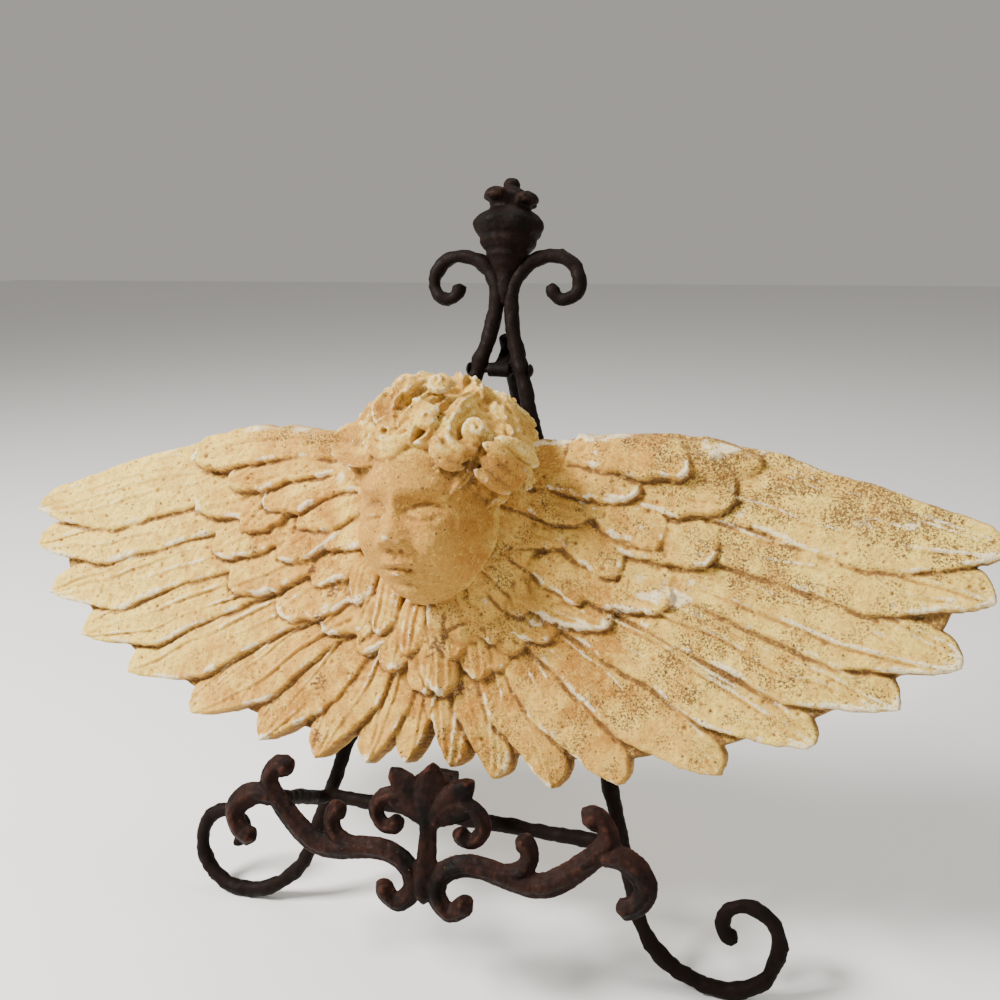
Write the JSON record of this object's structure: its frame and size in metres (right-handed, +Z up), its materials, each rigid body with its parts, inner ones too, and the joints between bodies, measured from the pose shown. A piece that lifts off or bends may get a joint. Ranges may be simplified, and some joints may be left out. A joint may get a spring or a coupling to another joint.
{
  "type": "cherub wall plaque",
  "caption": "Winged infant's head in cast plaster with spread feathered wings, resting on a scrolled iron easel with a folding back leg.",
  "frame": {"origin": "on the table under the middle of the whole object's bounding box", "axes": "+X along the spread of the wings, to the viewer's right; the front faces -Y; +Z up"},
  "size_m": [0.604, 0.3756, 0.4601],
  "materials": {
    "plaster": "aged cast plaster, ochre wash with worn white edges and brown dirt",
    "wrought_iron": "hammered black-brown iron",
    "cast_iron": "dark iron with red-brown rub-through on its edges"
  },
  "bodies": {
    "stand": {"left_leg": "wrought_iron", "right_leg": "wrought_iron", "shelf_bar": "wrought_iron", "front_rest": "cast_iron", "finial": "cast_iron", "hinge_pin": "wrought_iron", "plaque": "plaster"},
    "back_leg": {"back_leg": "wrought_iron"}
  },
  "joints": [
    {"name": "back_leg_fold", "type": "hinge", "parent": "stand", "child": "back_leg", "pos_m": [0.01665, -0.03168, 0.34548], "axis": [1, 0, 0], "range_deg": [-44, 0]}
  ]
}
